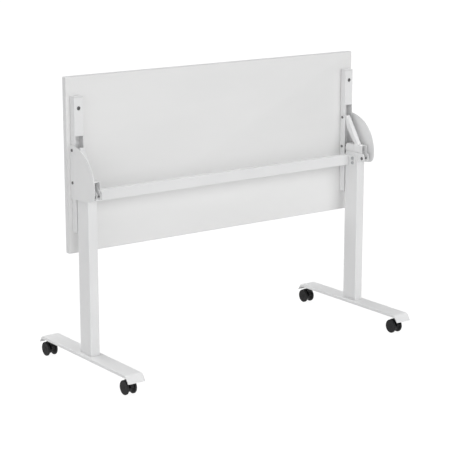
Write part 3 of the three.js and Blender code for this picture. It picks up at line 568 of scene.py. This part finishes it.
def quadrant(name):
    """Rounded plate and its mounting strip.

    The rounded edge is a superellipse: reach * cos(a) ** (2 / n) out from the top and
    height * sin(a) ** (2 / n) up from the belly, with n = BELLY. The toe is a quadratic curve
    from the lower edge to the belly.
    """
    way = SIDES[name]
    low, high = extent(f"quadrant_{name}")
    under = high[1] + UNDERSIDE_GAP
    toe_z = low[2] + TOE_RISE
    belly_z = HINGE[1] - BELLY_BELOW_HINGE
    height = high[2] - belly_z

    def bottom(reach):
        return low[2] + TOE_RISE * (reach - UNDERSIDE_GAP) / (REACH - TOE - UNDERSIDE_GAP)

    def arc(first, last):
        angle = np.linspace(first, last, CURVE_STEPS)
        out = np.maximum(REACH * np.cos(angle) ** (2 / BELLY), UNDERSIDE_GAP)
        return np.stack([under - out, belly_z + height * np.sin(angle) ** (2 / BELLY)], -1)

    def angle_at(reach):
        return math.acos((reach / REACH) ** (BELLY / 2))

    t = np.linspace(0, 1, TOE_STEPS)[:, None]
    ends = np.array([(REACH - TOE, toe_z), (REACH, toe_z), (REACH, toe_z + TOE)])
    curve = (1 - t) ** 2 * ends[0] + 2 * t * (1 - t) * ends[1] + t**2 * ends[2]
    toe_line = np.stack([under - curve[:, 0], curve[:, 1]], -1)
    heel = (under - STRIP, bottom(STRIP))
    plate = np.concatenate([[heel], toe_line, arc(0, angle_at(STRIP))[1:]])
    lap = STRIP + STEP_LAP
    edge = [(under - reach, bottom(reach)) for reach in (UNDERSIDE_GAP, lap)]
    strip = np.concatenate([edge, arc(angle_at(lap), math.pi / 2 - CURVE_END)])
    outer = high[0] if way > 0 else low[0]
    inner = low[0] if way > 0 else high[0]
    shells = [
        solid(plate, "x", (outer - way * PLATE_SHEET, outer), PLATE_RIM),
        solid(strip, "x", (inner, inner + way * STRIP_SHEET), STRIP_RIM),
    ]
    piece(f"quadrant_{name}", shells, COAT)


RAIL_SCREW_HEAD, STAY_PIN_HEAD = 2.0, 1.8
SCREW_SHANK_SHARE, SCREW_SHANK_INSET = 0.6, 0.5
SOCKET_SHARE = 0.5  # half width of a socket, as a share of its head's radius
SCREW_SOCKET_DEPTH = 1.4


def through_screw(node, head):
    """Pin or screw across a piece, with a hex socket head at each end."""
    low, high = extent(node)
    centre = (low + high) / 2
    radius = (high[1] - low[1]) / 2
    span = (low[0] + SCREW_SHANK_INSET, high[0] - SCREW_SHANK_INSET)
    shells = [rod("x", (0, centre[1], centre[2]), radius * SCREW_SHANK_SHARE, span)]
    for edge, outward in ((low[0], -1.0), (high[0], 1.0)):
        seat = (edge - outward * head, centre[1], centre[2])
        size = (radius, head, radius * SOCKET_SHARE, SCREW_SOCKET_DEPTH)
        shells.append(socket_head(seat, "x", outward, *size))
    piece(node, shells, DARK_STEEL)


# The frame

HEAD_BACK_OF_SLOT = -9.0
HEAD_FLOOR_FRONT, HEAD_FLOOR_ROUND, HEAD_FLOOR_RIM = -34.0, 0.5, 0.3
HEAD_SEAM, HEAD_LAP = 1.2, 0.3
HEAD_STEPS = 40
HEAD_BEND, HEAD_INSIDE_BEND, HEAD_EDGE = 3.0, 0.6, 0.3
HEAD_DEEP = 200.0  # marks the section's points that go down to the base
CHEEK_CORNER, CHEEK_RIM = 2.0, 0.5
PAD_INSET, PAD_ROUND, PAD_RIM = 2.0, 1.0, 0.1


def column_head(name):
    """Box channel: an arched section carried along Y, two cheeks in front, a floor and a pad.

    Behind the slot the top's height follows hinge height + sqrt(r * r - (y - hinge y) ** 2)
    once it is past the hinge, so the back corner is round about the hinge.
    """
    low, high = extent(f"head_{name}")
    base = low[2] + HEAD_SEAM - HEAD_LAP
    top_radius = high[2] - HINGE[1]
    x0, x1 = low[0], high[0]
    slot = HEAD_BACK_OF_SLOT
    y = np.concatenate([[slot, slot + SUPPORT], np.linspace(0, high[1], HEAD_STEPS)])
    past = np.maximum(y - HINGE[0], 0)
    top = HINGE[1] + np.sqrt(top_radius**2 - past**2)
    section = fillet(
        [
            (x0, -HEAD_DEEP),
            (x0 + WALL, -HEAD_DEEP),
            (x0 + WALL, -WALL),
            (x1 - WALL, -WALL),
            (x1 - WALL, -HEAD_DEEP),
            (x1, -HEAD_DEEP),
            (x1, 0),
            (x0, 0),
        ],
        [HEAD_EDGE] * 2 + [HEAD_INSIDE_BEND] * 2 + [HEAD_EDGE] * 2 + [HEAD_BEND] * 2,
    )
    level = section[None, :, 1]
    height = np.where(level > -HEAD_DEEP / 2, level + top[:, None], level + HEAD_DEEP + base)
    shells = [shell(sections(section[None, :, 0], y[:, None], height))]
    back = slot + SEAM
    cheek = fillet(
        [(low[1], base), (back, base), (back, high[2]), (low[1], high[2])],
        [CHEEK_CORNER, CRISP, CRISP, CHEEK_CORNER],
    )
    for x in (x0, x1 - WALL):
        shells.append(solid(cheek, "x", (x, x + WALL), CHEEK_RIM))
    near = (x0 + WALL - HEAD_LAP, HEAD_FLOOR_FRONT)
    far = (x1 - WALL + HEAD_LAP, high[1] - HEAD_LAP)
    floor = rectangle(near, far, HEAD_FLOOR_ROUND)
    shells.append(solid(floor, "z", (base, base + WALL), HEAD_FLOOR_RIM))
    near = (x0 + PAD_INSET, HEAD_FLOOR_FRONT + PAD_INSET)
    far = (x1 - PAD_INSET, high[1] - PAD_INSET)
    pad = rectangle(near, far, PAD_ROUND)
    shells.append(solid(pad, "z", (low[2], base + HEAD_LAP), PAD_RIM))
    piece(f"head_{name}", shells, COAT)


STAY_PIN = np.array([-59.0, 632.0])  # Y and Z of the stay's axis
LUG_EDGE, LUG_SWEEP, LUG_RIM = 0.3, 12.0, 0.6
LUG_BASE, LUG_BASE_HEIGHT, LUG_BASE_INSET = 3.0, 18.0, 0.4
LUG_BASE_ROUND, LUG_BASE_RIM = 1.0, 0.4


def pivot_bracket(name):
    """Two lugs with a round nose about the stay's pin, on a base plate."""
    low, high = extent(f"pivot_bracket_{name}")
    nose = STAY_PIN[0] - low[1] - LUG_EDGE
    lug = fillet(
        [(high[1], low[2]), (low[1], low[2]), (low[1], high[2]), (high[1], high[2])],
        [LUG_EDGE, nose, LUG_SWEEP, LUG_EDGE],
        2 * ARC_STEPS,
    )
    shells = [solid(lug, "x", (x, x + WALL), LUG_RIM) for x in (low[0], high[0] - WALL)]
    near = (low[0] + LUG_BASE_INSET, low[2])
    far = (high[0] - LUG_BASE_INSET, low[2] + LUG_BASE_HEIGHT)
    base = rectangle(near, far, LUG_BASE_ROUND)
    shells.append(solid(base, "y", (high[1] - LUG_BASE, high[1]), LUG_BASE_RIM))
    piece(f"pivot_bracket_{name}", shells, COAT)


STAY_WALL, STAY_BEND, STAY_EDGE, STAY_INSIDE_BEND = 3.0, 2.4, 0.6, 0.5
STAY_ROOT = STAY_PIN + (-3.2, 2.25)
STAY_HEEL = (-38.5, 651.0)  # Y and Z where the arm's back begins
STAY_NECK = 19.0
STAY_ELBOW_BACK, STAY_ELBOW_BELOW_TIP = 12.0, 47.0
STAY_TIP_WIDTH = 9.0
STAY_MIDWAY = 720.0  # height of a ring between the neck and the elbow
STAY_RING_GAP, ELBOW_RING_GAP = 0.3, 1.5  # rings that hold the neck's, elbow's and tip's bends
STAY_DEEP = 100.0  # marks the section's points that go to the back
STAY_FOOT_LAP, STAY_FOOT_RIM = 1.0, 0.5
STAY_LOBE, STAY_LOBE_TURN, STAY_LOBE_STEPS = 9.0, (150, 385), 40
STAY_LID_INSET, STAY_LID_ROUND, STAY_LID_RIM = 0.2, 1.5, 0.6
TAB_FRONT_ROUND, TAB_BACK_ROUND, TAB_RIM = 3.5, 0.5, 0.7


def stay_arm(name):
    """Cranked channel arm with its tab, and its inner wall alone below the tab.

    At each height the section is a channel open to the back: its front runs straight from the
    root to the tip, and its back follows the heel, the neck, the elbow and the tip.
    """
    low, high = extent(f"stay_arm_{name}")
    x0, x1 = low[0], high[0]
    tip_back, tip_z = high[1], high[2]
    tip_front = tip_back - STAY_TIP_WIDTH
    _, head_high = extent(f"head_{name}")
    tab_low, tab_high = extent(f"release_tab_{name}")
    open_z, neck_z = tab_low[2], head_high[2] - WALL
    elbow_z = tip_z - STAY_ELBOW_BELOW_TIP

    def front_at(z):
        root_y, root_z = STAY_ROOT
        return root_y + (tip_front - root_y) * (z - root_z) / (tip_z - root_z)

    neck = (front_at(neck_z) + STAY_NECK, neck_z)
    elbow = (tip_back - STAY_ELBOW_BACK, elbow_z)
    bends = [elbow_z - ELBOW_RING_GAP, elbow_z, elbow_z + ELBOW_RING_GAP]
    heights = np.array(
        [open_z, open_z + SEAM, neck_z, neck_z + STAY_RING_GAP, STAY_MIDWAY]
        + bends
        + [tip_z - STAY_WALL, tip_z - STAY_RING_GAP]
    )
    corner = np.array([STAY_HEEL, neck, elbow, (tip_back, tip_z)])
    back = np.interp(heights, corner[:, 1], corner[:, 0])[:, None]
    front = front_at(heights)[:, None]
    section = fillet(
        [
            (x0, STAY_DEEP),
            (x0, 0.0),
            (x1, 0.0),
            (x1, STAY_DEEP),
            (x1 - STAY_WALL, STAY_DEEP),
            (x1 - STAY_WALL, STAY_WALL),
            (x0 + STAY_WALL, STAY_WALL),
            (x0 + STAY_WALL, STAY_DEEP),
        ],
        [STAY_EDGE, STAY_BEND, STAY_BEND, STAY_EDGE]
        + [STAY_EDGE, STAY_INSIDE_BEND, STAY_INSIDE_BEND, STAY_EDGE],
    )
    level = section[None, :, 1]
    depth = np.where(level > STAY_DEEP / 2, back - STAY_DEEP + level, front + level)
    across = np.broadcast_to(section[None, :, 0], depth.shape)
    shells = [shell(np.stack([across, depth, np.broadcast_to(heights[:, None], depth.shape)], -1))]
    near = (x0 + STAY_LID_INSET, tip_front + STAY_LID_INSET)
    far = (x1 - STAY_LID_INSET, tip_back - STAY_LID_INSET)
    lid = rectangle(near, far, STAY_LID_ROUND)
    shells.append(solid(lid, "z", (tip_z - STAY_WALL, tip_z), STAY_LID_RIM))
    turn = np.linspace(*map(math.radians, STAY_LOBE_TURN), STAY_LOBE_STEPS)
    lobe = STAY_PIN + STAY_LOBE * np.stack([np.cos(turn), np.sin(turn)], -1)
    join_z = open_z + STAY_FOOT_LAP
    upper = [(neck[0] - SEAM, join_z), (front_at(join_z) + SEAM, join_z)]
    plate = np.concatenate([lobe, [STAY_HEEL], upper])
    inside = (x0 + SEAM, x0 + STAY_WALL) if SIDES[name] > 0 else (x1 - STAY_WALL, x1 - SEAM)
    shells.append(solid(plate, "x", inside, STAY_FOOT_RIM))
    piece(f"stay_arm_{name}", shells, COAT)

    rounds = [TAB_FRONT_ROUND, TAB_FRONT_ROUND, TAB_BACK_ROUND, TAB_BACK_ROUND]
    tab = rectangle(tab_low[:2], tab_high[:2], rounds)
    piece(f"release_tab_{name}", [solid(tab, "z", (tab_low[2], tab_high[2]), TAB_RIM)], COAT)


COLUMN_BEND, COLUMN_RIM = 3.2, 0.4


def column(name):
    """Rectangular tube with rounded corners."""
    low, high = extent(f"column_{name}")
    outline = rectangle(low[:2], high[:2], COLUMN_BEND)
    piece(f"column_{name}", [solid(outline, "z", (low[2], high[2]), COLUMN_RIM)], COAT)


END_PLATE_CORNER, END_PLATE_RIM = 3.0, 0.5
BEAM_BOLT_HEAD, BEAM_BOLT_SOCKET_DEPTH = 4.0, 2.0
BEAM_BOLT_SHANK_SHARE, BEAM_BOLT_LAP = 0.66, 0.4


def beam_end(name):
    """Plate with rounded corners, and its two bolts with hex sockets."""
    way = SIDES[name]
    low, high = extent(f"beam_end_plate_{name}")
    outline = rectangle(low[1:], high[1:], END_PLATE_CORNER)
    plate = solid(outline, "x", (low[0], high[0]), END_PLATE_RIM)
    piece(f"beam_end_plate_{name}", [plate], COAT)
    for end in ("upper", "lower"):
        node = f"beam_bolt_{end}_{name}"
        low, high = extent(node)
        centre = (low + high) / 2
        radius = (high[1] - low[1]) / 2
        tip = low[0] if way > 0 else high[0]
        root = high[0] if way > 0 else low[0]
        seat = (tip + way * BEAM_BOLT_HEAD, centre[1], centre[2])
        size = (radius, BEAM_BOLT_HEAD, radius * SOCKET_SHARE, BEAM_BOLT_SOCKET_DEPTH)
        shank = (seat[0] - way * BEAM_BOLT_LAP, root)
        shells = [
            socket_head(seat, "x", -way, *size),
            rod("x", (0, centre[1], centre[2]), radius * BEAM_BOLT_SHANK_SHARE, shank),
        ]
        piece(node, shells, STEEL)


FOOT_SHEET, FOOT_LIP, FOOT_BEND = 3.0, 10.5, 2.6
FOOT_EDGE, FOOT_INSIDE_BEND = 0.6, 0.5
NOSE_OUT, NOSE_DROP, NOSE_CORNER = 18.0, 25.0, 7.0
NOSE_SOFT = 2.2  # how widely the bend between the flat and the slope is spread
NOSE_RUN, NOSE_STEPS, NOSE_END = 8.0, 48, 0.15
NOSE_EDGE = 0.2
FOOT_RING_GAP = 0.3
WEB_DEEP, LIP_DEEP = 100.0, 300.0  # mark the section's points under the web and on the lips
CREST_LEAST, RIM_LEAST, WEB_LEAST = 0.05, 0.02, 0.02
RIM_FADE = 2.0  # height of the lips below which their round fades
CASTER_STEMS = (-258.0, 258.0)
BOSS_BORE, BOSS_RADIUS, BOSS_DROP, BOSS_LAP = 5.3, 9.0, 9.0, 0.3
BOSS_ROUNDS = [0.1, 0.4, 0.8, 0.1]


def foot(name):
    """Pressed sheet foot: an inverted channel whose web follows the nose, flat and nose.

    At each Y the section is an inverted channel. Its top falls along the nose, softened by
    taking the smooth least of the flat and the slope, and its lips end at a level line. Near
    the tip the section narrows along a quarter circle, which rounds the nose's corners.
    """
    low, high = extent(f"foot_{name}")
    x0, x1 = low[0], high[0]
    top, tip = high[2], high[1]
    tip_z = top - NOSE_DROP
    flat = tip - NOSE_OUT
    slope = (top - tip_z) / NOSE_OUT
    stretch = np.hypot(1, slope)
    dense = np.linspace(flat - NOSE_RUN, tip - NOSE_END, NOSE_STEPS)
    half = np.concatenate([[0.0, flat - NOSE_RUN - FOOT_RING_GAP], dense])
    y = np.concatenate([-half[:0:-1], half])
    distance = np.abs(y)
    fall = slope * (distance - flat)
    crown = top - NOSE_SOFT * np.logaddexp(0, fall / NOSE_SOFT)
    crown = np.maximum(crown, tip_z + NOSE_EDGE)
    blend = np.clip((distance - flat + NOSE_RUN / 2) / NOSE_RUN, 0, 1)
    thick = FOOT_SHEET + (FOOT_SHEET * stretch - FOOT_SHEET) * blend
    under = np.maximum(crown - thick, tip_z)[:, None]
    crown = crown[:, None]
    lip = np.minimum(top - FOOT_LIP, under)
    section = fillet(
        [
            (x0, -LIP_DEEP),
            (x0 + FOOT_SHEET, -LIP_DEEP),
            (x0 + FOOT_SHEET, -WEB_DEEP),
            (x1 - FOOT_SHEET, -WEB_DEEP),
            (x1 - FOOT_SHEET, -LIP_DEEP),
            (x1, -LIP_DEEP),
            (x1, 0.0),
            (x0, 0.0),
        ],
        [FOOT_EDGE] * 2 + [FOOT_INSIDE_BEND] * 2 + [FOOT_EDGE] * 2 + [FOOT_BEND] * 2,
    )
    level = section[None, :, 1]
    crest = crown + level * np.clip((crown - under) / FOOT_SHEET, CREST_LEAST, 1)
    web = np.maximum(under + level + WEB_DEEP, lip + WEB_LEAST)
    rim = lip + (level + LIP_DEEP) * np.clip((under - lip) / RIM_FADE, RIM_LEAST, 1)
    lower = np.where(level > -(WEB_DEEP + LIP_DEEP) / 2, web, rim)
    height = np.where(level > -WEB_DEEP / 2, crest, lower)
    middle = (x0 + x1) / 2
    corner = np.clip(1 - (tip - distance) * stretch / NOSE_CORNER, 0, 1)
    narrow = 1 - NOSE_CORNER * (1 - np.sqrt(1 - corner**2)) / ((x1 - x0) / 2)
    across = middle + (section[None, :, 0] - middle) * narrow[:, None]
    shells = [shell(sections(across, y[:, None], height))]
    boss = [(BOSS_BORE, 0), (BOSS_BORE, -BOSS_DROP), (BOSS_RADIUS, -BOSS_DROP), (BOSS_RADIUS, 0)]
    profile = fillet(boss, BOSS_ROUNDS, ARC_STEPS // 2)
    for stem in CASTER_STEMS:
        seat = (middle, stem, top - FOOT_SHEET + BOSS_LAP)
        shells.append(turned(profile, "z", seat, loop=True))
    piece(f"foot_{name}", shells, COAT)


# Casters

WHEEL_RADIUS = 25.0
CROWN_RADIUS, DRUM_RADIUS, DRUM_WIDTH = 26.5, 17.0, 5.0
WHEEL_BORE = 3.3
DISH_OUTER, DISH_INNER, DISH_DROP = 22.0, 21.4, 0.6
HUB_FOOT, HUB_RADIUS, HUB_FOOT_DROP, HUB_DROP = 7.0, 6.4, 1.0, 0.3
WHEEL_ROUNDS = [0.2, 0.4, 1.2, 2.2, 2.4, 0.4, 0.4, 0.4, 0.4, 0.2]


def wheel(node, outward):
    """Wheel turned about its axle: a drum, a disc with a round rim, a dished face and a hub."""
    low, high = extent(node)
    centre = (low + high) / 2
    face = (high[0] - low[0]) / 2
    shoulder = DRUM_WIDTH - face
    profile = [
        (WHEEL_BORE, -face),
        (DRUM_RADIUS, -face),
        (DRUM_RADIUS, shoulder),
        (WHEEL_RADIUS, shoulder),
        (WHEEL_RADIUS, face),
        (DISH_OUTER, face),
        (DISH_INNER, face - DISH_DROP),
        (HUB_FOOT, face - HUB_FOOT_DROP),
        (HUB_RADIUS, face - HUB_DROP),
        (WHEEL_BORE, face - HUB_DROP),
    ]
    section = fillet(profile, WHEEL_ROUNDS)
    section[:, 1] *= outward
    piece(node, [turned(section, "x", centre, loop=True)], TREAD)


CASTER_WEB, CASTER_WEB_RIM, CASTER_TRAIL = 12.0, 0.8, 20.0
CROWN_START, CROWN_RUN = 0.05, 0.2  # sines: below the axle, and over the S curve
AXLE_RADIUS, AXLE_EDGE = 3.0, 0.6
NECK_LOW, NECK_RADIUS, NECK_EDGE = 44.0, 10.0, 1.0
STEM_RADIUS, STEM_HEIGHT, STEM_LAP, STEM_EDGE = 5.0, 9.0, 0.5, 0.6


def caster_body(end, name):
    """Body of a twin-wheel caster: a web with its axle, a neck and a stem.

    The web's radius is the drum's below the axle and the crown's above it, with an S curve
    of the angle between them.
    """
    node = f"caster_body_{end}_{name}"
    low, high = extent(node)
    wheel_low, wheel_high = extent(f"wheel_a_{end}_{name}")
    x = (low[0] + high[0]) / 2
    half = (high[0] - low[0]) / 2
    axle_y = (wheel_low[1] + wheel_high[1]) / 2
    stem_at = (x, axle_y - CASTER_TRAIL, 0)
    angle = np.arange(2 * ROUND_STEPS) * math.pi / ROUND_STEPS
    share = np.clip((np.sin(angle) + CROWN_START) / CROWN_RUN, 0, 1)
    radius = DRUM_RADIUS + (CROWN_RADIUS - DRUM_RADIUS) * share**2 * (3 - 2 * share)
    web = np.stack([axle_y + radius * np.cos(angle), WHEEL_RADIUS + radius * np.sin(angle)], -1)
    shells = [solid(web, "x", (x - CASTER_WEB / 2, x + CASTER_WEB / 2), CASTER_WEB_RIM)]
    axle = (x - half, x + half)
    shells.append(rod("x", (0, axle_y, WHEEL_RADIUS), AXLE_RADIUS, axle, AXLE_EDGE))
    neck_top = high[2] - STEM_HEIGHT
    neck = [(ON_AXIS, NECK_LOW), (NECK_RADIUS, NECK_LOW)]
    neck += [(NECK_RADIUS, neck_top), (ON_AXIS, neck_top)]
    shells.append(turned(rounded_profile(neck, NECK_EDGE), "z", stem_at))
    shells.append(rod("z", stem_at, STEM_RADIUS, (neck_top - STEM_LAP, high[2]), STEM_EDGE))
    piece(node, shells, BLACK)


for side in SIDES:
    rail(side)
    rail_cap("lower", side)
    rail_cap("upper", side)
    quadrant(side)
    through_screw(f"rail_screw_upper_{side}", RAIL_SCREW_HEAD)
    through_screw(f"rail_screw_lower_{side}", RAIL_SCREW_HEAD)
    column_head(side)
    pivot_bracket(side)
    through_screw(f"stay_pin_{side}", STAY_PIN_HEAD)
    stay_arm(side)
    column(side)
    beam_end(side)
    foot(side)
    for end in ENDS:
        caster_body(end, side)
        wheel(f"wheel_a_{end}_{side}", -1.0)
        wheel(f"wheel_b_{end}_{side}", 1.0)

BEAM_BEND, BEAM_RIM = 2.6, 0.2


def crossbeam():
    """Rectangular tube with rounded corners between the end plates."""
    low, high = extent("crossbeam")
    outline = rectangle(low[1:], high[1:], BEAM_BEND)
    piece("crossbeam", [solid(outline, "x", (low[0], high[0]), BEAM_RIM)], COAT)


crossbeam()

# CAD pieces that stay as they are take the finish of their slot.
FINISH = {slot: material for material, slot in SLOTS.items() if material != DARK_STEEL}
for part in frame["record"]["subparts"]:
    kept = frame["nodes"][part["node"]]
    kept.data.materials.clear()
    kept.data.materials.append(FINISH[part["material_slot"]])


# Floor, light and camera

WHITE = (1, 1, 1, 1)
FLOOR_HALF = 80.0
FLOOR_GLOW_CAST, FLOOR_GLOW_SEEN = 0.7, 0.95
SURROUND = 0.14


def studio_floor():
    """A wide floor that glows, more to the camera than to the pieces, so that it stays near white."""
    mesh = bpy.data.meshes.new("studio_floor_shape")
    corners = FLOOR_HALF * np.array([(-1, -1, 0), (1, -1, 0), (1, 1, 0), (-1, 1, 0)])
    mesh.from_pydata(corners.tolist(), [], [(0, 1, 2, 3)])
    material, add, put, where = new_material("studio_floor")
    slow = noise(add, where, scale=0.8)
    put("Base Color", tint(add, slow, dark=(0.11, 0.11, 0.11), light=(0.13, 0.13, 0.13)))
    put("Roughness", 0.9)
    put("Specular IOR Level", 0.1)
    put("Emission Color", WHITE)
    seen = add("ShaderNodeLightPath").outputs["Is Camera Ray"]
    glow = between(add, seen, low=FLOOR_GLOW_CAST, high=FLOOR_GLOW_SEEN, start=0.0, stop=1.0)
    put("Emission Strength", glow)
    mesh.materials.append(material)
    made = bpy.data.objects.new("studio_floor", mesh)
    bpy.context.scene.collection.objects.link(made)


def soft_sun(name, source, strength, spread):
    """A distant lamp that shines from the source's direction, as wide as the spread in degrees."""
    data = bpy.data.lights.new(name, "SUN")
    data.energy = strength
    data.angle = math.radians(spread)
    lamp = bpy.data.objects.new(name, data)
    toward = -unit(np.array(source, float))
    lamp.rotation_euler = (math.acos(-toward[2]), 0, math.atan2(-toward[0], toward[1]))
    bpy.context.scene.collection.objects.link(lamp)


def studio_light():
    """Dim surroundings that the camera sees as white, a soft key in front, fills above and aside."""
    world = bpy.data.worlds.new("studio")
    world.use_nodes = True
    nodes, links = world.node_tree.nodes, world.node_tree.links
    background = next(n for n in nodes if n.type == "BACKGROUND")
    output = next(n for n in nodes if n.type == "OUTPUT_WORLD")
    background.inputs["Color"].default_value = WHITE
    background.inputs["Strength"].default_value = SURROUND
    backdrop = nodes.new("ShaderNodeBackground")
    backdrop.inputs["Color"].default_value = WHITE
    path, choice = nodes.new("ShaderNodeLightPath"), nodes.new("ShaderNodeMixShader")
    links.new(path.outputs["Is Camera Ray"], choice.inputs[0])
    links.new(background.outputs[0], choice.inputs[1])
    links.new(backdrop.outputs[0], choice.inputs[2])
    links.new(choice.outputs[0], output.inputs["Surface"])
    bpy.context.scene.world = world
    soft_sun("front_key", source=(0.15, -1.0, 0.5), strength=1.1, spread=45)
    soft_sun("top_fill", source=(-0.1, 0.25, 1.0), strength=2.05, spread=60)
    soft_sun("side_fill", source=(-1.0, -0.55, 0.2), strength=0.62, spread=50)


CAMERA_AT = (-3.1528, -4.2852, 1.6863)
CAMERA_YAW = math.radians(36.178)
CAMERA_PITCH = math.radians(13.128)
CAMERA_LENS = 122.42
CAMERA_SENSOR = 36.0
CAMERA_CLIP = 100.0


def camera():
    """The photograph's viewpoint: turned from +Y towards +X and tilted down."""
    data = bpy.data.cameras.new("camera")
    data.lens = CAMERA_LENS
    data.sensor_width = CAMERA_SENSOR
    data.clip_end = CAMERA_CLIP
    made = bpy.data.objects.new("camera", data)
    made.location = CAMERA_AT
    made.rotation_euler = (math.pi / 2 - CAMERA_PITCH, 0, -CAMERA_YAW)
    bpy.context.scene.collection.objects.link(made)
    bpy.context.scene.camera = made


studio_floor()
studio_light()
camera()
bpy.context.scene.view_settings.view_transform = "Standard"

bpy.context.view_layer.update()
